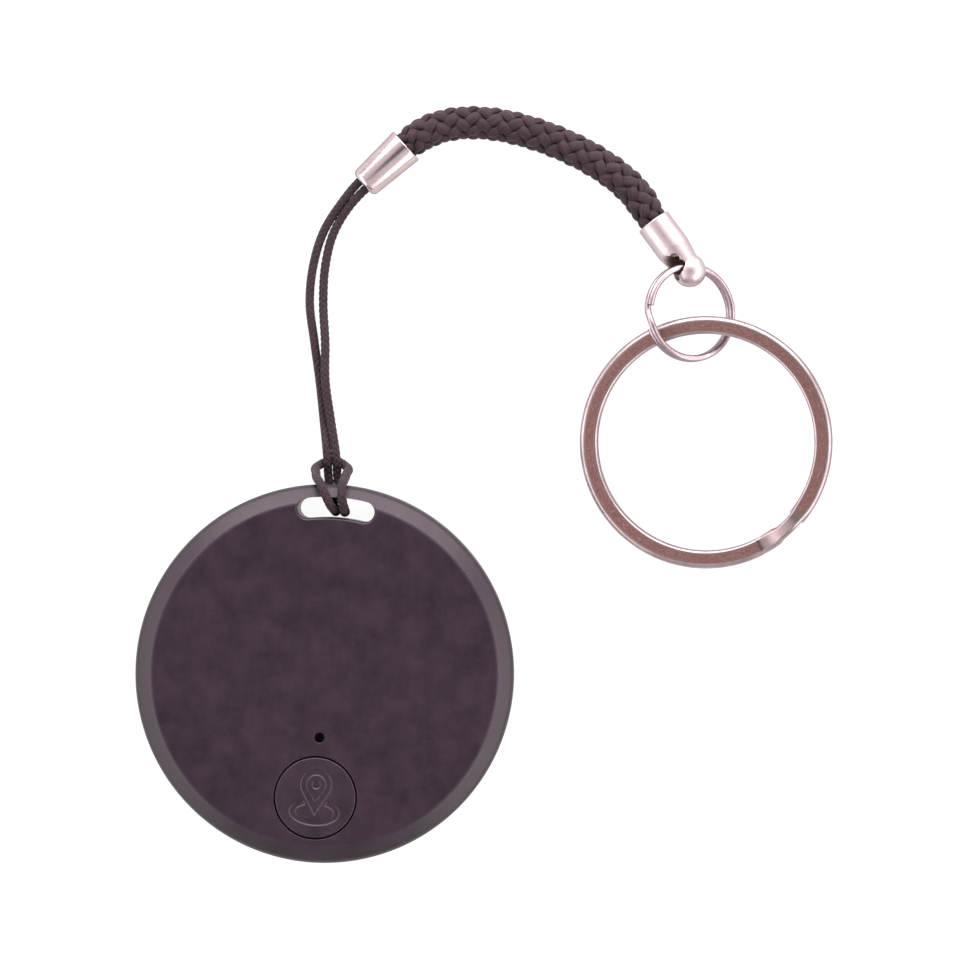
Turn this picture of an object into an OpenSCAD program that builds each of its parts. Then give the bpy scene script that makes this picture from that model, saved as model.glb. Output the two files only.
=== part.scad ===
// Bluetooth tracker tag on a lanyard with a key ring.
// The tag lies face up. Its disc is centred on the origin and its back rests on Z = 0.
// +Y runs from the disc's centre to the lanyard slot, +Z out of its face. Millimetres.

/* [Tag body] */
// Outer diameter of the disc
tag_d = 37.2; // [37:0.1:39]
// Thickness of the disc
tag_h = 8; // [8:0.1:9]
// Radius of the rounded edge between face and rim
edge_r = 1.5; // [1:0.1:1.5]
// Thickness of the front wall
front_wall = 1.2; // [1:0.1:1.3]
// Thickness of the rim wall
rim_wall = 1.7; // [1.6:0.1:2]
// Diameter of the light and sound hole in the face
light_hole_d = 1; // [0.8:0.1:1.4]
// Distance of the light and sound hole from the centre
light_hole_y = 6.2; // [6:0.1:6.4]

/* [Lanyard slot] */
// Distance from the disc's centre to the middle of the slot
slot_mid_r = 16.35; // [16.3:0.05:16.4]
// Width of the slot across the disc
slot_w = 2; // [1.9:0.05:2]
// Half of the angle between the centres of the slot's round ends
slot_half_angle = 9.8; // [9:0.1:11]
// Thickness of the wall between the slot and the inside
slot_wall = 1.2; // [1:0.1:1.3]
// Depth of the relief in the back that lets the cord pass under the bar
bar_relief = 1.4; // [1.3:0.1:1.8]

/* [Button] */
// Diameter of the button's cap
button_d = 7.9; // [7:0.1:8]
// Gap round the cap
button_gap = 0.15; // [0.1:0.05:0.2]
// Distance of the button from the disc's centre
button_y = 12.1; // [12:0.05:12.2]
// Depth of the symbol pressed into the cap
symbol_depth = 0.1; // [0.1:0.05:0.25]

/* [Cover and cell] */
// Thickness of the rear cover
cover_h = 1.1; // [0.9:0.1:1.1]
// Gap round the rear cover
cover_gap = 0.1; // [0.08:0.01:0.15]
// Diameter of the coin cell
cell_d = 20; // [20:0.1:20]
// Thickness of the coin cell
cell_h = 3.2; // [3:0.1:3.2]

/* [Electronics] */
// Thickness of the circuit board
board_h = 0.8; // [0.6:0.1:0.8]
// Diameter of the buzzer's brass plate
buzzer_d = 12; // [10:0.5:12]

/* [Lanyard] */
// Diameter of the thin loop cord
cord_d = 0.85; // [0.7:0.05:0.9]
// Diameter of the braided strap
strap_d = 3.4; // [3.2:0.1:3.5]
// Diameter of the crimp cap's wide mouth
crimp_mouth_d = 3.8; // [3.7:0.05:4]
// Diameter of the crimp cap's narrow end
crimp_end_d = 3.1; // [3:0.05:3.3]
// Diameter of the eyelet cap's mouth
eyelet_mouth_d = 3.5; // [3.45:0.05:3.8]
// Radius of the eyelet cap's round tip
eyelet_tip_r = 1.65; // [1.6:0.05:1.8]
// Radius of the eye through the tip
eye_r = 0.95; // [0.93:0.01:1]

/* [Rings] */
// Outer diameter of the small ring
small_ring_d = 9.8; // [9.6:0.1:9.9]
// Wire diameter of the small ring
small_wire_d = 0.65; // [0.6:0.05:0.65]
// Outer diameter of the key ring
key_ring_d = 25; // [24.8:0.1:25]
// Radial width of the key ring's wire
key_wire_w = 1.75; // [1.6:0.05:1.75]
// Height of one turn of the key ring
key_turn_h = 1; // [0.9:0.05:1]

/* [Hidden] */
$fn = 96;

eps = 0.01;
tag_r = tag_d / 2;
cavity_r = tag_r - rim_wall;
front_z = tag_h - front_wall;
bar_inner_r = slot_mid_r + slot_w / 2;
lug_inner_r = slot_mid_r - slot_w / 2 - slot_wall;
lug_half_angle = slot_half_angle + asin((slot_w / 2 + slot_wall) / slot_mid_r);

// Rear cover and the step it sits in
cover_r = cavity_r - cover_gap;
cover_lip_r = cover_r - 0.7;
cover_lip_wall = 0.7;
cover_lip_h = 1.2;
cover_lug_gap = 0.25;
cradle_wall = 0.6;
cradle_h = 0.8;
cradle_gap = 0.15;
pry_notch_w = 5;
pry_notch_depth = 0.9;

// Levels inside the tag
cell_y = 1;
cell_z = cover_h;
cell_top = cell_z + cell_h;
board_z = cell_top + 0.6;
board_top = board_z + board_h;

// Circuit board
board_r = cavity_r - 0.4;
board_lug_gap = 0.3;
post_r = 14.4;
post_angles = [35, 145, 215, 325];
post_d = 1.1;
post_hole_d = 1.25;
post_end = 0.2;
shoulder_d = 2.2;

// Length, width and height of what is soldered to the board
chip_size = [4, 4, 0.75];
crystal_size = [2.5, 2, 0.6];
antenna_size = [3.2, 1.6, 0.7];
led_size = [1.6, 0.8, 0.6];
capacitor_size = [0.6, 1, 0.4];
resistor_size = [1, 0.6, 0.4];
inductor_size = [1.2, 0.7, 0.5];
chip_x = -9.5;

// Button and switch
button_hole_d = button_d + 2 * button_gap;
flange_d = button_d + 1.5;
flange_h = 0.4;
flange_play = 0.05;
button_base_z = front_z - flange_play - flange_h;
boss_d = 1.8;
boss_z = board_top + 0.8;
recess_d = 6;
recess_h = 0.85;
switch_w = 3.2;
switch_h = 0.5;
plunger_d = 1.4;
plunger_gap = 0.1;
plunger_bottom = board_top + 0.35;

// Cell pieces
can_wall = 0.25;
can_inner_d = cell_d - 2 * can_wall;
gasket_wall = 0.4;
gasket_floor = 0.3;
gasket_inner_d = can_inner_d - 2 * gasket_wall;
rim_drop = 0.15;
cap_step_w = 0.45;
cap_step_h = 0.3;

// Contacts
contact_w = 4;
contact_t = 0.25;
contact_gap = 0.06;
contact_foot = 2.2;
spring_size = [8, 3, 0.15];
spring_pad_r = 1.4;
spring_gap = 0.02;

// Buzzer
buzzer_y = 3;
plate_h = 0.2;
ceramic_d = 8.5;
ceramic_h = 0.15;
wire_d = 0.3;
wire_x = 3;
wire_run = 6;

// Symbol on the button: a pin with a hole and a dot, in an oval broken round the pin
pin_head_y = 1.27;
pin_r = 1.52;
pin_length = 2.87;
pin_hole_r = 0.93;
pin_hole_length = 1.57;
pin_dot_r = 0.42;
pin_gap = 0.3;
oval_y = -1.42;
oval_size = [4.92, 2.6];
oval_hole_size = [3.72, 1.56];

// Where the caps and the rings lie
crimp_mouth = [4.17, 52.65, 1.92];
crimp_end = [0.17, 48.49, 1.6];
eyelet_mouth = [29.17, 46.89, 1.76];
eyelet_tip = [33.1, 42.25, 2.25];
cap_bore_d = 2.9;
cap_bore_h = 2.6;
strand_gap = 0.92;
strand_hole_d = 0.95;
small_ring_at = [33.42, 38.08, 2.68];
small_ring_tilt = 25.5;
small_ring_uphill = 192;
key_ring_at = [35.91, 25.38, 2.52];
key_ring_tilt = 7;
key_ring_uphill = 22;
small_ring_r = (small_ring_d - small_wire_d) / 2;
key_ring_r = (key_ring_d - key_wire_w) / 2;
eye_angle = -98;

// Route of the loop cord: out of the crimp cap, along the table, over the bight, under the
// bar, up through the slot, over the bar, round the bight and back the same way.
loop_route = [
    [0.8, 49.8, 1.6], [-0.2, 48.8, 1.6], [-1.9, 46.5, 1.05], [-3.5, 43.5, 0.55],
    [-4.25, 40.2, 0.45], [-4.35, 36.6, 0.45], [-3.6, 32.6, 0.45], [-2.8, 28.8, 0.45],
    [-2.1, 24.9, 0.6], [-1.4, 20.9, 1.65], [-1.2, 19.2, 1.05], [-0.8, 17.6, 0.85],
    [-0.35, 16.35, 1.6], [-0.1, 15.95, 4.4], [-0.25, 16.15, 7.2], [-0.6, 16.6, 8.2],
    [-1.15, 17.6, 8.6], [-1.65, 18.55, 8.2], [-2.0, 18.95, 7.2], [-2.35, 19.6, 4.2],
    [-2.35, 20.25, 1.7], [-0.9, 20.95, 0.43], [0.6, 20.35, 1.7], [0.65, 19.7, 4.2],
    [0.55, 19.0, 7.2], [0.45, 18.6, 8.2], [0.5, 17.6, 8.6], [0.7, 16.6, 8.2],
    [0.75, 16.15, 7.2], [0.8, 15.95, 4.4], [0.6, 16.35, 1.6], [0.1, 17.6, 0.85],
    [-0.3, 19.2, 1.05], [-0.5, 20.9, 1.65], [-1.38, 24.9, 1.15], [-2.2, 28.8, 1.25],
    [-2.5, 32.6, 0.9], [-3, 36.6, 0.45], [-3.05, 40.2, 0.45], [-2.5, 43.4, 0.6],
    [-1.1, 46.2, 1.15], [0.5, 48.15, 1.6], [1.5, 49.15, 1.6]
];
loop_rings_per_span = 2;

// Route of the braided strap, from inside the crimp cap to inside the eyelet cap.
strap_route = [
    [2.6, 51.05, 1.85], [4.17, 52.65, 1.88], [5.5, 53.75, 1.85], [7.4, 54.75, 1.78],
    [9.3, 55.25, 1.75], [11.2, 55.42, 1.75], [13.3, 55.35, 1.75], [15.8, 54.95, 1.75],
    [18.35, 54.3, 1.75], [20.9, 53.4, 1.75], [23.5, 52.2, 1.75], [25.6, 50.9, 1.75],
    [27.4, 49.35, 1.75], [28.6, 47.75, 1.75], [29.25, 46.8, 1.78], [30.5, 45.3, 1.9]
];
strap_rings_per_span = 1;

// ---------------------------------------------------------------- helpers

function unit(v) = v / norm(v);

// Direction of a route at its point i. The nearer neighbour counts for more.
function heading(p, i) =
    i == 0 ? unit(p[1] - p[0])
    : i == len(p) - 1 ? unit(p[i] - p[i - 1])
    : unit((p[i] - p[i - 1]) / pow(norm(p[i] - p[i - 1]), 2)
         + (p[i + 1] - p[i]) / pow(norm(p[i + 1] - p[i]), 2));

// Point at t along a cubic span from a to b that leaves along u and arrives along v
function span_point(a, b, u, v, t) =
    let (len_ab = norm(b - a))
    (2 * t * t * t - 3 * t * t + 1) * a + (t * t * t - 2 * t * t + t) * len_ab * u
    + (3 * t * t - 2 * t * t * t) * b + (t * t * t - t * t) * len_ab * v;

// A route made smooth, with n steps between neighbouring points
function smooth_route(p, n) = [
    for (i = [0 : len(p) - 2], k = [0 : n - 1])
        span_point(p[i], p[i + 1], heading(p, i), heading(p, i + 1), k / n),
    p[len(p) - 1]
];

// Side vectors carried along a route without twist
function carried(p, i, side) =
    i == len(p) ? []
    : let (t = heading(p, i), s = unit(side - (side * t) * t))
      concat([s], carried(p, i + 1, s));

// Round tube of diameter d along the points p
module tube(p, d, sides) {
    start = heading(p, 0);
    first = unit(cross(start, abs(start[2]) > 0.9 ? [1, 0, 0] : [0, 0, 1]));
    side = carried(p, 0, first);
    n = len(p);
    points = [
        for (i = [0 : n - 1])
            let (up = cross(heading(p, i), side[i]))
            for (k = [0 : sides - 1])
                p[i] + d / 2 * (cos(360 * k / sides) * side[i] + sin(360 * k / sides) * up)
    ];
    walls = [
        for (i = [0 : n - 2], k = [0 : sides - 1])
            let (a = i * sides + k, b = i * sides + (k + 1) % sides)
            each [[a, b, b + sides], [a, b + sides, a + sides]]
    ];
    caps = [
        for (k = [1 : sides - 2])
            each [
                [0, k + 1, k],
                [(n - 1) * sides, (n - 1) * sides + k, (n - 1) * sides + k + 1]
            ]
    ];
    polyhedron(points, [for (f = concat(walls, caps)) [f[2], f[1], f[0]]]);
}

// Children are built along +Z from the origin and laid from point a towards point b
module laid_along(a, b) {
    v = b - a;
    translate(a) rotate([0, acos(v[2] / norm(v)), atan2(v[1], v[0])]) children();
}

// Sector of a disc, symmetric about +Y, reaching half_angle to each side
module sector(radius, half_angle) {
    reach = radius * 1.5;
    polygon([
        [0, 0],
        [reach * sin(half_angle), reach * cos(half_angle)],
        [0, reach * 1.2],
        [-reach * sin(half_angle), reach * cos(half_angle)]
    ]);
}

module slot_outline() {
    intersection() {
        difference() {
            circle(r = slot_mid_r + slot_w / 2);
            circle(r = slot_mid_r - slot_w / 2);
        }
        sector(slot_mid_r, slot_half_angle);
    }
    for (side = [-1, 1])
        rotate(side * slot_half_angle) translate([0, slot_mid_r]) circle(d = slot_w);
}

// Area round the slot that stays solid, out to gap beyond the wall
module lug_outline(gap) {
    grow = asin(gap / slot_mid_r);
    intersection() {
        difference() {
            circle(r = tag_r + eps);
            circle(r = lug_inner_r - gap);
        }
        sector(tag_r, lug_half_angle + grow);
    }
}

module at_button() {
    translate([0, -button_y, 0]) children();
}

module post_places() {
    for (a = post_angles) rotate(a) translate([post_r, 0, 0]) children();
}

// ---------------------------------------------------------------- tag body

// Half section of the disc: flat face and back with rounded edges to the rim
module disc_section() {
    square([tag_r - edge_r, tag_h]);
    translate([0, edge_r]) square([tag_r, tag_h - 2 * edge_r]);
    for (z = [edge_r, tag_h - edge_r])
        translate([tag_r - edge_r, z]) circle(r = edge_r);
}

module front_shell() {
    color([0.27, 0.23, 0.27]) difference() {
        union() {
            difference() {
                rotate_extrude() disc_section();
                difference() {
                    translate([0, 0, -eps]) cylinder(r = cavity_r, h = front_z + eps);
                    translate([0, 0, -1]) linear_extrude(tag_h) lug_outline(0);
                }
            }
            difference() {
                post_places() cylinder(d = shoulder_d, h = front_z + eps);
                translate([0, 0, -eps]) cylinder(r = cavity_r, h = board_top + eps);
            }
            post_places() translate([0, 0, board_z - post_end])
                cylinder(d = post_d, h = front_z + eps - board_z + post_end);
        }
        translate([0, 0, -1]) linear_extrude(tag_h + 2) slot_outline();
        // relief under the bar, from the slot's inner wall outwards
        translate([0, 0, -1]) linear_extrude(bar_relief + 1) intersection() {
            difference() {
                circle(r = tag_r + 1);
                circle(r = slot_mid_r - slot_w / 2);
            }
            sector(tag_r, slot_half_angle);
        }
        at_button() translate([0, 0, front_z - 1]) cylinder(d = button_hole_d, h = 3);
        translate([0, -light_hole_y, front_z - 1]) cylinder(d = light_hole_d, h = 3);
    }
}

module rear_cover() {
    color([0.25, 0.21, 0.25]) difference() {
        union() {
            cylinder(r = cover_r, h = cover_h);
            translate([0, 0, cover_h - eps]) difference() {
                cylinder(r = cover_lip_r, h = cover_lip_h);
                translate([0, 0, -eps])
                    cylinder(r = cover_lip_r - cover_lip_wall, h = cover_lip_h + 1);
            }
            // cradle that centres the cell
            translate([0, cell_y, cover_h - eps]) difference() {
                cylinder(d = cell_d + 2 * (cradle_gap + cradle_wall), h = cradle_h);
                translate([0, 0, -1]) cylinder(d = cell_d + 2 * cradle_gap, h = cradle_h + 2);
            }
        }
        translate([0, 0, -1]) linear_extrude(5) lug_outline(cover_lug_gap);
        // notch for a coin or a nail to lift the cover
        translate([-pry_notch_w / 2, -cover_r - 1, -1])
            cube([pry_notch_w, pry_notch_depth + 1, cover_h / 2 + 1]);
    }
}

// ---------------------------------------------------------------- button and switch

// Generic locating symbol: a map pin standing in an oval
module pin_symbol() {
    difference() {
        drop(pin_r, pin_length);
        drop(pin_hole_r, pin_hole_length);
    }
    translate([0, pin_head_y]) circle(r = pin_dot_r);
    difference() {
        oval(oval_size);
        oval(oval_hole_size);
        drop(pin_r + pin_gap, pin_length * (1 + pin_gap / pin_r));
    }
}

// Round head whose straight flanks run down to a point
module drop(r, length) {
    chord = r * sqrt(1 - pow(r / length, 2));
    translate([0, pin_head_y]) {
        circle(r = r);
        polygon([[-chord, -r * r / length], [0, -length], [chord, -r * r / length]]);
    }
}

module oval(size) {
    translate([0, oval_y]) scale([1, size.y / size.x]) circle(d = size.x);
}

module find_button() {
    color([0.27, 0.23, 0.27]) at_button() difference() {
        union() {
            translate([0, 0, button_base_z]) cylinder(d = button_d, h = tag_h - button_base_z);
            translate([0, 0, button_base_z]) cylinder(d = flange_d, h = flange_h);
            translate([0, 0, boss_z]) cylinder(d = boss_d, h = 1);
        }
        difference() {
            translate([0, 0, button_base_z - 1]) cylinder(d = recess_d, h = recess_h + 1);
            translate([0, 0, boss_z]) cylinder(d = boss_d, h = 3);
        }
        translate([0, 0, tag_h - symbol_depth]) linear_extrude(1) pin_symbol();
    }
}

module switch_plunger() {
    color([0.15, 0.15, 0.16]) at_button() translate([0, 0, plunger_bottom])
        cylinder(d = plunger_d, h = boss_z - plunger_bottom);
}

module switch_base() {
    color("silver") at_button() difference() {
        translate([-switch_w / 2, -switch_w / 2, board_top]) cube([switch_w, switch_w, switch_h]);
        translate([0, 0, board_top - 1]) cylinder(d = plunger_d + 2 * plunger_gap, h = 3);
    }
}

// ---------------------------------------------------------------- electronics

module circuit_board() {
    color([0.05, 0.32, 0.18]) translate([0, 0, board_z]) difference() {
        cylinder(r = board_r, h = board_h);
        translate([0, 0, -1]) linear_extrude(3) lug_outline(board_lug_gap);
        post_places() translate([0, 0, -1]) cylinder(d = post_hole_d, h = 3);
    }
}

module on_board(x, y, size) {
    translate([x - size[0] / 2, y - size[1] / 2, board_top]) cube(size);
}

module bluetooth_chip() {
    color([0.08, 0.08, 0.09]) on_board(chip_x, 0, chip_size);
}

module crystal() {
    color("silver") on_board(chip_x, 4.4, crystal_size);
}

module chip_antenna() {
    color([0.9, 0.9, 0.86]) on_board(chip_x, -6.5, antenna_size);
}

module status_led() {
    color([0.95, 0.95, 0.8]) on_board(0, -light_hole_y, led_size);
}

module passives() {
    color([0.62, 0.5, 0.36]) {
        for (x = [8, 9.4, 10.8, 12.2]) on_board(x, 2.5, capacitor_size);
        for (y = [-3, -1.6, -0.2]) on_board(9, y, resistor_size);
        for (x = [-4.6, 4.6]) on_board(x, -light_hole_y, inductor_size);
    }
}

// ---------------------------------------------------------------- coin cell

module cell_can() {
    color([0.78, 0.78, 0.8]) translate([0, cell_y, cell_z]) difference() {
        cylinder(d = cell_d, h = cell_h - rim_drop);
        translate([0, 0, can_wall]) cylinder(d = can_inner_d, h = cell_h);
    }
}

module cell_gasket() {
    color([0.85, 0.85, 0.82]) translate([0, cell_y, cell_z + can_wall]) difference() {
        cylinder(d = can_inner_d, h = cell_h - can_wall - rim_drop - 0.1);
        translate([0, 0, gasket_floor]) cylinder(d = gasket_inner_d, h = cell_h);
    }
}

// The cell's filling and its raised face, which is the negative pole
module cell_cap() {
    base_z = can_wall + gasket_floor;
    color([0.82, 0.82, 0.84]) translate([0, cell_y, cell_z + base_z]) {
        cylinder(d = gasket_inner_d, h = cell_h - base_z - cap_step_h);
        cylinder(d = gasket_inner_d - 2 * cap_step_w, h = cell_h - base_z);
    }
}

// Leaf beside the can, with a foot soldered under the board
module positive_contact() {
    color([0.86, 0.76, 0.5])
        translate([cell_d / 2 + contact_gap, cell_y - contact_w / 2, cell_z + 1]) {
            cube([contact_t, contact_w, board_z - cell_z - 1]);
            translate([0, 0, board_z - cell_z - 1 - contact_t])
                cube([contact_foot, contact_w, contact_t]);
        }
}

// Bridge under the board with a round pad that meets the cell's raised face
module negative_contact() {
    color([0.86, 0.76, 0.5]) translate([0, cell_y, 0]) {
        translate([-spring_size[0] / 2, -spring_size[1] / 2, board_z - spring_size[2]])
            cube(spring_size);
        translate([0, 0, cell_top + spring_gap])
            cylinder(r = spring_pad_r, h = board_z - spring_size[2] / 2 - cell_top - spring_gap);
    }
}

// ---------------------------------------------------------------- buzzer

module buzzer_plate() {
    color([0.8, 0.66, 0.3]) translate([0, buzzer_y, front_z - plate_h])
        cylinder(d = buzzer_d, h = plate_h);
}

module buzzer_ceramic() {
    color([0.88, 0.86, 0.8]) translate([0, buzzer_y, front_z - plate_h - ceramic_h])
        cylinder(d = ceramic_d, h = ceramic_h);
}

// Two leads, each soldered flat under the disc, run outwards and bent down to the board
module buzzer_wires() {
    wire_z = front_z - plate_h - ceramic_h - wire_d / 2;
    color([0.7, 0.1, 0.1]) for (side = [-1, 1])
        translate([side * wire_x, buzzer_y - 1, 0]) {
            translate([0, 0, wire_z]) rotate([90, 0, 0]) cylinder(d = wire_d, h = wire_run);
            translate([0, -wire_run, wire_z]) sphere(d = wire_d);
            translate([0, -wire_run, board_top]) cylinder(d = wire_d, h = wire_z - board_top);
        }
}

// ---------------------------------------------------------------- lanyard

module loop_cord() {
    color([0.3, 0.25, 0.28]) tube(smooth_route(loop_route, loop_rings_per_span), cord_d, 8);
}

module braided_strap() {
    color([0.27, 0.23, 0.25]) tube(smooth_route(strap_route, strap_rings_per_span), strap_d, 12);
}

// Tapered ferrule: wide mouth for the strap, two holes in the narrow end for the strands
module crimp_cap() {
    length = norm(crimp_end - crimp_mouth);
    end_round = 0.45;
    color([0.84, 0.8, 0.82]) laid_along(crimp_mouth, crimp_end) difference() {
        rotate_extrude() {
            polygon([
                [0, 0], [crimp_mouth_d / 2, 0], [crimp_end_d / 2, length - end_round],
                [crimp_end_d / 2 - end_round, length], [0, length]
            ]);
        }
        translate([0, 0, -1]) cylinder(d = cap_bore_d, h = cap_bore_h + 1);
        for (side = [-1, 1]) translate([0, side * strand_gap / 2, cap_bore_h - eps])
            cylinder(d = strand_hole_d, h = length);
    }
}

// End cap: a tube for the strap that narrows to a round tip with an eye across it
module eyelet_cap() {
    length = norm(eyelet_tip - eyelet_mouth);
    mouth_r = eyelet_mouth_d / 2;
    color([0.84, 0.8, 0.82]) difference() {
        laid_along(eyelet_mouth, eyelet_tip) {
            rotate_extrude() polygon([
                [0, 0], [mouth_r, 0], [mouth_r, 2.9], [1.5, 4.3], [1.35, length], [0, length]
            ]);
            translate([0, 0, length]) sphere(r = eyelet_tip_r);
        }
        laid_along(eyelet_mouth, eyelet_tip)
            translate([0, 0, -1]) cylinder(d = cap_bore_d, h = cap_bore_h + 1);
        in_small_ring() rotate(eye_angle) translate([small_ring_r, 0, 0])
            rotate([90, 0, 0]) cylinder(r = eye_r, h = 8, center = true);
    }
}

// ---------------------------------------------------------------- rings

module in_small_ring() {
    translate(small_ring_at) rotate([0, -small_ring_tilt, small_ring_uphill]) children();
}

// Two turns of round wire, one on the other
module small_ring() {
    turn_z = small_wire_d / 2 - 0.03;
    color([0.82, 0.79, 0.82]) in_small_ring() rotate_extrude() {
        for (z = [-turn_z, turn_z]) translate([small_ring_r, z]) circle(d = small_wire_d);
    }
}

// Two turns of flat wire with rounded corners, one on the other
module key_ring() {
    corner = 0.3;
    color([0.72, 0.6, 0.58]) translate(key_ring_at)
        rotate([0, -key_ring_tilt, key_ring_uphill]) rotate_extrude() {
            for (z = [-key_turn_h, 0]) translate([key_ring_r - key_wire_w / 2, z]) {
                translate([corner, 0]) square([key_wire_w - 2 * corner, key_turn_h]);
                translate([0, corner]) square([key_wire_w, key_turn_h - 2 * corner]);
                for (x = [corner, key_wire_w - corner], y = [corner, key_turn_h - corner])
                    translate([x, y]) circle(r = corner);
            }
        }
}

front_shell();
rear_cover();
find_button();
switch_plunger();
switch_base();
circuit_board();
bluetooth_chip();
crystal();
chip_antenna();
status_led();
passives();
cell_can();
cell_cap();
cell_gasket();
positive_contact();
negative_contact();
buzzer_plate();
buzzer_ceramic();
buzzer_wires();
loop_cord();
crimp_cap();
braided_strap();
eyelet_cap();
small_ring();
key_ring();
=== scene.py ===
import math

import bmesh
import bpy
import numpy as np
from mathutils import Matrix, Vector
from mathutils.bvhtree import BVHTree


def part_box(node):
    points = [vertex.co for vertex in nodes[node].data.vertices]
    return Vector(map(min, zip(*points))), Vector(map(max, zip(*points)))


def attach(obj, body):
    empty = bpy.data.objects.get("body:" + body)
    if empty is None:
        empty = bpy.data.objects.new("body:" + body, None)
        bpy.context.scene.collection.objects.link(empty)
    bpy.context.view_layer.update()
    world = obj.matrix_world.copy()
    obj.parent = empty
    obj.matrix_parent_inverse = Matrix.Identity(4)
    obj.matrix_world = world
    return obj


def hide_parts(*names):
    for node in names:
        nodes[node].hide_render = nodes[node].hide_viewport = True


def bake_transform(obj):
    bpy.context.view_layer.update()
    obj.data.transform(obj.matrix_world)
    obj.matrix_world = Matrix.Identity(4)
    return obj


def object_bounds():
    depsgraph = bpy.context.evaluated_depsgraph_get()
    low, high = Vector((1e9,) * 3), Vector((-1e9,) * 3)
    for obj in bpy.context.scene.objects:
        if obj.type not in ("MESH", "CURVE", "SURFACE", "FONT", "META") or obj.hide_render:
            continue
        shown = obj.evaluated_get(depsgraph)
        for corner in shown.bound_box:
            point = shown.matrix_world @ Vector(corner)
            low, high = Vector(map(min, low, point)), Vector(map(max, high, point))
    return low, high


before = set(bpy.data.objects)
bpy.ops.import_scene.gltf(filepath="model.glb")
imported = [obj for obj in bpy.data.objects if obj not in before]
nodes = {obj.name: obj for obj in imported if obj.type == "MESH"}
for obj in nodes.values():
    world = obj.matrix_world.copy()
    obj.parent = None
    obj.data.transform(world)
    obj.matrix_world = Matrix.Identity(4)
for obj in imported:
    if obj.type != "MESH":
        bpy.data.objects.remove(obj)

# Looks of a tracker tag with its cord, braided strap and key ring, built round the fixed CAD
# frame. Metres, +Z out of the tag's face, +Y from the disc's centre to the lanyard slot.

cad_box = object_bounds()
scene = bpy.context.scene

MM = 0.001
TURN = 2 * math.pi
# Distance within which a point counts as lying on a face
TOUCH = 0.01 * MM
# Distance within which two points are one, in metres
MERGE = 1e-7
# How far a cutter runs past the surface that it opens
PAST = 1 * MM

# ------------------------------------------------------------------ camera

CAMERA_AT = (13.95 * MM, 19.96 * MM, 400 * MM)
CAMERA_ROLL = math.radians(4.1)
# Lens and sensor in camera millimetres
CAMERA_LENS = 150.06
CAMERA_SENSOR = 36
CAMERA_RANGE = (0.01, 20)


def make_camera():
    """Looks straight down on the object."""
    data = bpy.data.cameras.new("camera")
    data.lens = CAMERA_LENS
    data.sensor_width = CAMERA_SENSOR
    data.clip_start, data.clip_end = CAMERA_RANGE
    camera = bpy.data.objects.new("camera", data)
    camera.location = CAMERA_AT
    camera.rotation_euler = (0, 0, CAMERA_ROLL)
    scene.collection.objects.link(camera)
    scene.camera = camera


make_camera()

# ------------------------------------------------------------------ routes and curves

# Route of the loop cord: out of the crimp cap, along the table, over the bight, under the
# bar, up through the slot, over the bar, round the bight and back the same way.
LOOP_ROUTE = MM * np.array([
    (0.8, 49.8, 1.6), (-0.2, 48.8, 1.6), (-1.9, 46.5, 1.05), (-3.5, 43.5, 0.55),
    (-4.25, 40.2, 0.45), (-4.35, 36.6, 0.45), (-3.6, 32.6, 0.45), (-2.8, 28.8, 0.45),
    (-2.1, 24.9, 0.6), (-1.4, 20.9, 1.65), (-1.2, 19.2, 1.05), (-0.8, 17.6, 0.85),
    (-0.35, 16.35, 1.6), (-0.1, 15.95, 4.4), (-0.25, 16.15, 7.2), (-0.6, 16.6, 8.2),
    (-1.15, 17.6, 8.6), (-1.65, 18.55, 8.2), (-2.0, 18.95, 7.2), (-2.35, 19.6, 4.2),
    (-2.35, 20.25, 1.7), (-0.9, 20.95, 0.43), (0.6, 20.35, 1.7), (0.65, 19.7, 4.2),
    (0.55, 19.0, 7.2), (0.45, 18.6, 8.2), (0.5, 17.6, 8.6), (0.7, 16.6, 8.2),
    (0.75, 16.15, 7.2), (0.8, 15.95, 4.4), (0.6, 16.35, 1.6), (0.1, 17.6, 0.85),
    (-0.3, 19.2, 1.05), (-0.5, 20.9, 1.65), (-1.38, 24.9, 1.15), (-2.2, 28.8, 1.25),
    (-2.5, 32.6, 0.9), (-3, 36.6, 0.45), (-3.05, 40.2, 0.45), (-2.5, 43.4, 0.6),
    (-1.1, 46.2, 1.15), (0.5, 48.15, 1.6), (1.5, 49.15, 1.6),
])
CORD_D = 0.85 * MM

# Route of the braided strap, from inside the crimp cap to inside the eyelet cap.
STRAP_ROUTE = MM * np.array([
    (2.6, 51.05, 1.85), (4.17, 52.65, 1.88), (5.5, 53.75, 1.85), (7.4, 54.75, 1.78),
    (9.3, 55.25, 1.75), (11.2, 55.42, 1.75), (13.3, 55.35, 1.75), (15.8, 54.95, 1.75),
    (18.35, 54.3, 1.75), (20.9, 53.4, 1.75), (23.5, 52.2, 1.75), (25.6, 50.9, 1.75),
    (27.4, 49.35, 1.75), (28.6, 47.75, 1.75), (29.25, 46.8, 1.78), (30.5, 45.3, 1.9),
])
STRAP_D = 3.4 * MM


def unit(v):
    return v / np.maximum(np.linalg.norm(v, axis=-1, keepdims=True), 1e-12)


def headings(points):
    """Direction at each point of a route. The nearer neighbour counts for more."""
    steps = np.diff(points, axis=0)
    weighted = steps / np.sum(steps**2, axis=1, keepdims=True)
    middle = weighted[:-1] + weighted[1:]
    return unit(np.concatenate([steps[:1], middle, steps[-1:]]))


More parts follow.
